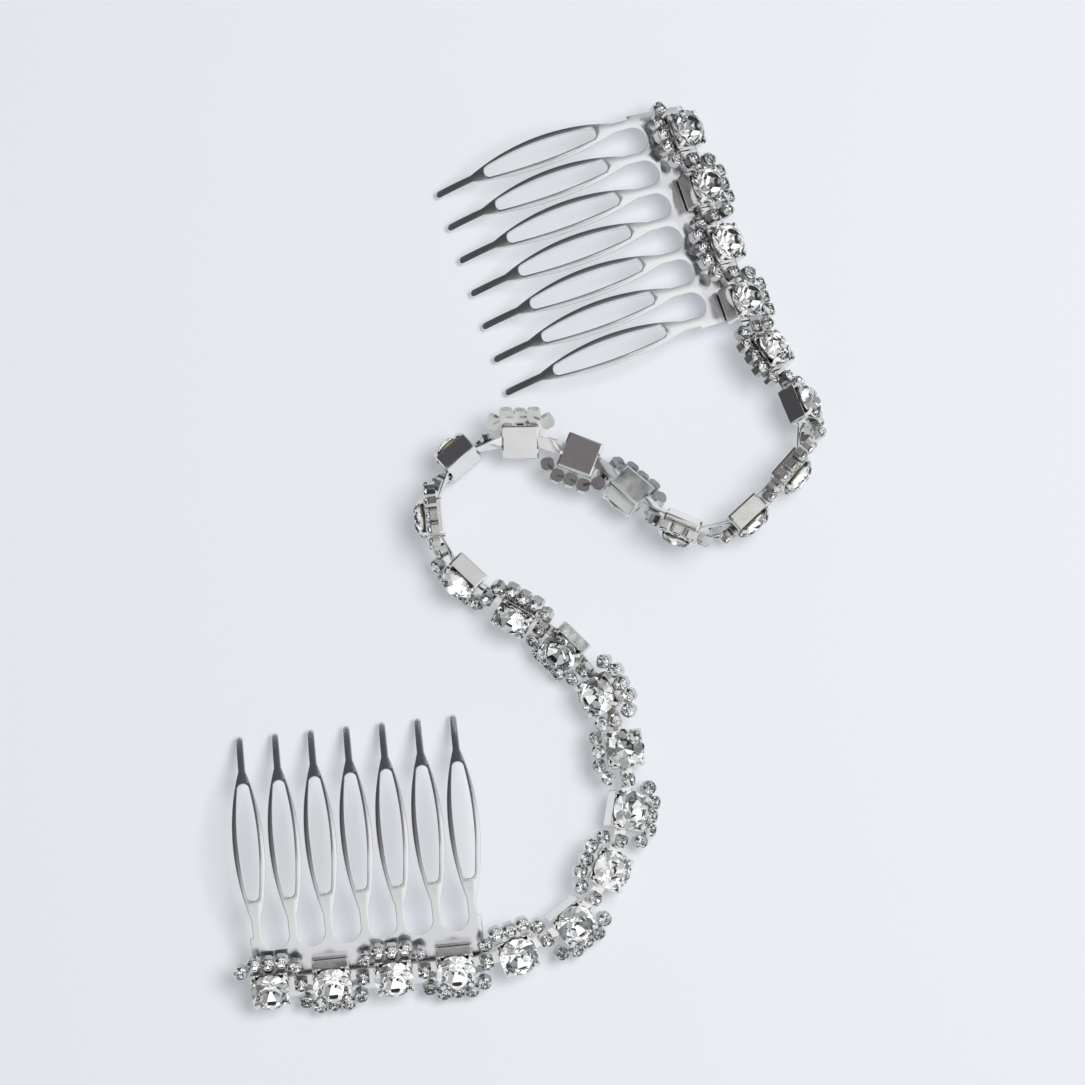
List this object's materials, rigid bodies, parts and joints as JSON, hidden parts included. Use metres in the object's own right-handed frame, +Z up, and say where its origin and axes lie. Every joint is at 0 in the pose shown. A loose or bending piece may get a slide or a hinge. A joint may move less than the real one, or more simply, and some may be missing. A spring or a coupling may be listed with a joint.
{
  "type": "rhinestone hair clip",
  "caption": "Flexible chain of large round crystals in square cups, wound with a wave of small ones, joining two arched metal hair combs.",
  "frame": {"origin": "on the surface the part lies on, under the middle of its bounding box", "axes": "+Z up from the surface, +Y from the lower comb to the upper comb, +X to the right of that"},
  "size_m": [0.0976, 0.1518, 0.0126],
  "materials": {
    "comb_metal": "bright silver plate on stamped steel",
    "setting_metal": "bright silver plate on folded brass sheet",
    "solder": "soft solder",
    "crystal": "clear faceted glass with a foiled back",
    "wave_crystal": "clear faceted glass with a foiled back"
  },
  "bodies": {
    "lower_comb": {"lower_comb": "comb_metal", "lower_solder": "solder", "lower_cups": "setting_metal", "lower_strips": "setting_metal", "lower_wave_cups": "setting_metal", "lower_crystals": "crystal", "lower_wave_crystals": "wave_crystal"},
    "link_05": {"setting_05": "setting_metal", "crystals_05": "crystal"},
    "link_06": {"setting_06": "setting_metal", "crystals_06": "crystal"},
    "link_07": {"setting_07": "setting_metal", "crystals_07": "crystal"},
    "link_08": {"setting_08": "setting_metal", "crystals_08": "crystal"},
    "link_09": {"setting_09": "setting_metal", "crystals_09": "crystal"},
    "link_10": {"setting_10": "setting_metal", "crystals_10": "crystal"},
    "link_11": {"setting_11": "setting_metal", "crystals_11": "crystal"},
    "link_12": {"setting_12": "setting_metal", "crystals_12": "crystal"},
    "link_13": {"setting_13": "setting_metal", "crystals_13": "crystal"},
    "link_14": {"setting_14": "setting_metal", "crystals_14": "crystal"},
    "link_15": {"setting_15": "setting_metal", "crystals_15": "crystal"},
    "link_16": {"setting_16": "setting_metal", "crystals_16": "crystal"},
    "link_17": {"setting_17": "setting_metal", "crystals_17": "crystal"},
    "link_18": {"setting_18": "setting_metal", "crystals_18": "crystal"},
    "link_19": {"setting_19": "setting_metal", "crystals_19": "crystal"},
    "link_20": {"setting_20": "setting_metal", "crystals_20": "crystal"},
    "link_21": {"setting_21": "setting_metal", "crystals_21": "crystal"},
    "link_22": {"setting_22": "setting_metal", "crystals_22": "crystal"},
    "link_23": {"setting_23": "setting_metal", "crystals_23": "crystal"},
    "upper_comb": {"upper_comb": "comb_metal", "upper_solder": "solder", "upper_cups": "setting_metal", "upper_strips": "setting_metal", "upper_wave_cups": "setting_metal", "upper_crystals": "crystal", "upper_wave_crystals": "wave_crystal"}
  },
  "joints": [
    {"name": "pivot_04_05", "type": "hinge", "parent": "lower_comb", "child": "link_05", "pos_m": [-0.00517, -0.06646, 0.00445], "axis": [0.2962, -0.8138, -0.5], "range_deg": [-45, 17]},
    {"name": "pivot_05_06", "type": "hinge", "parent": "link_05", "child": "link_06", "pos_m": [0.00413, -0.06229, 0.00441], "axis": [-0.5382, 0.6785, 0.4999], "range_deg": [-19, 43]},
    {"name": "pivot_06_07", "type": "hinge", "parent": "link_06", "child": "link_07", "pos_m": [0.01121, -0.05499, 0.00425], "axis": [0.8603, -0.3782, -0.3418], "range_deg": [-43, 15]},
    {"name": "pivot_07_08", "type": "hinge", "parent": "link_07", "child": "link_08", "pos_m": [0.01472, -0.0455, 0.00394], "axis": [-0.8951, 0.1418, 0.4226], "range_deg": [-16, 46]},
    {"name": "pivot_08_09", "type": "hinge", "parent": "link_08", "child": "link_09", "pos_m": [0.01545, -0.03544, 0.00409], "axis": [0.9884, 0.1244, -0.0871], "range_deg": [-48, 14]},
    {"name": "pivot_09_10", "type": "hinge", "parent": "link_09", "child": "link_10", "pos_m": [0.01309, -0.0258, 0.00446], "axis": [-0.7914, -0.3543, -0.4981], "range_deg": [-3, 53]},
    {"name": "pivot_10_11", "type": "hinge", "parent": "link_10", "child": "link_11", "pos_m": [0.00789, -0.01741, 0.00522], "axis": [0.5355, 0.4658, 0.7044], "range_deg": [-55, 7]},
    {"name": "pivot_11_12", "type": "hinge", "parent": "link_11", "child": "link_12", "pos_m": [0.00035, -0.011, 0.00596], "axis": [-0.3281, -0.474, -0.8172], "range_deg": [-8, 54]},
    {"name": "pivot_12_13", "type": "hinge", "parent": "link_12", "child": "link_13", "pos_m": [-0.00838, -0.00564, 0.00645], "axis": [0.2692, 0.2166, 0.9384], "range_deg": [-41, 21]},
    {"name": "pivot_13_14", "type": "hinge", "parent": "link_13", "child": "link_14", "pos_m": [-0.01479, 0.00261, 0.0067], "axis": [-0.0036, 0.0347, -0.9994], "range_deg": [-35, 27]},
    {"name": "pivot_14_15", "type": "hinge", "parent": "link_14", "child": "link_15", "pos_m": [-0.01353, 0.01297, 0.00682], "axis": [-0.1825, 0.1843, 0.9658], "range_deg": [-22, 40]},
    {"name": "pivot_15_16", "type": "hinge", "parent": "link_15", "child": "link_16", "pos_m": [-0.00468, 0.0182, 0.00651], "axis": [0.0034, -0.7987, -0.6017], "range_deg": [-27, 35]},
    {"name": "pivot_16_17", "type": "hinge", "parent": "link_16", "child": "link_17", "pos_m": [0.00533, 0.017, 0.00622], "axis": [0.3564, 0.9285, -0.1045], "range_deg": [-47, 15]},
    {"name": "pivot_17_18", "type": "hinge", "parent": "link_17", "child": "link_18", "pos_m": [0.01415, 0.01243, 0.0064], "axis": [-0.4851, -0.5781, 0.6561], "range_deg": [-5, 53]},
    {"name": "pivot_18_19", "type": "hinge", "parent": "link_18", "child": "link_19", "pos_m": [0.0223, 0.00617, 0.00675], "axis": [0.1207, 0.2845, -0.9511], "range_deg": [-19, 23]},
    {"name": "pivot_19_20", "type": "hinge", "parent": "link_19", "child": "link_20", "pos_m": [0.03263, 0.00478, 0.00691], "axis": [0.0366, -0.0136, 0.9992], "range_deg": [-47, 9]},
    {"name": "pivot_20_21", "type": "hinge", "parent": "link_20", "child": "link_21", "pos_m": [0.03991, 0.01189, 0.00671], "axis": [-0.008, -0.0624, -0.998], "range_deg": [-6, 17]},
    {"name": "pivot_21_22", "type": "hinge", "parent": "link_21", "child": "link_22", "pos_m": [0.04444, 0.02124, 0.00623], "axis": [-0.4391, -0.0414, 0.8975], "range_deg": [-44, 7]},
    {"name": "pivot_22_23", "type": "hinge", "parent": "link_22", "child": "link_23", "pos_m": [0.04015, 0.0304, 0.00511], "axis": [0.6388, 0.312, -0.7032], "range_deg": [-20, 17]},
    {"name": "pivot_23_24", "type": "hinge", "parent": "link_23", "child": "upper_comb", "pos_m": [0.03524, 0.03897, 0.00437], "axis": [-0.7751, -0.2669, 0.5727], "range_deg": [-7, 16]}
  ]
}
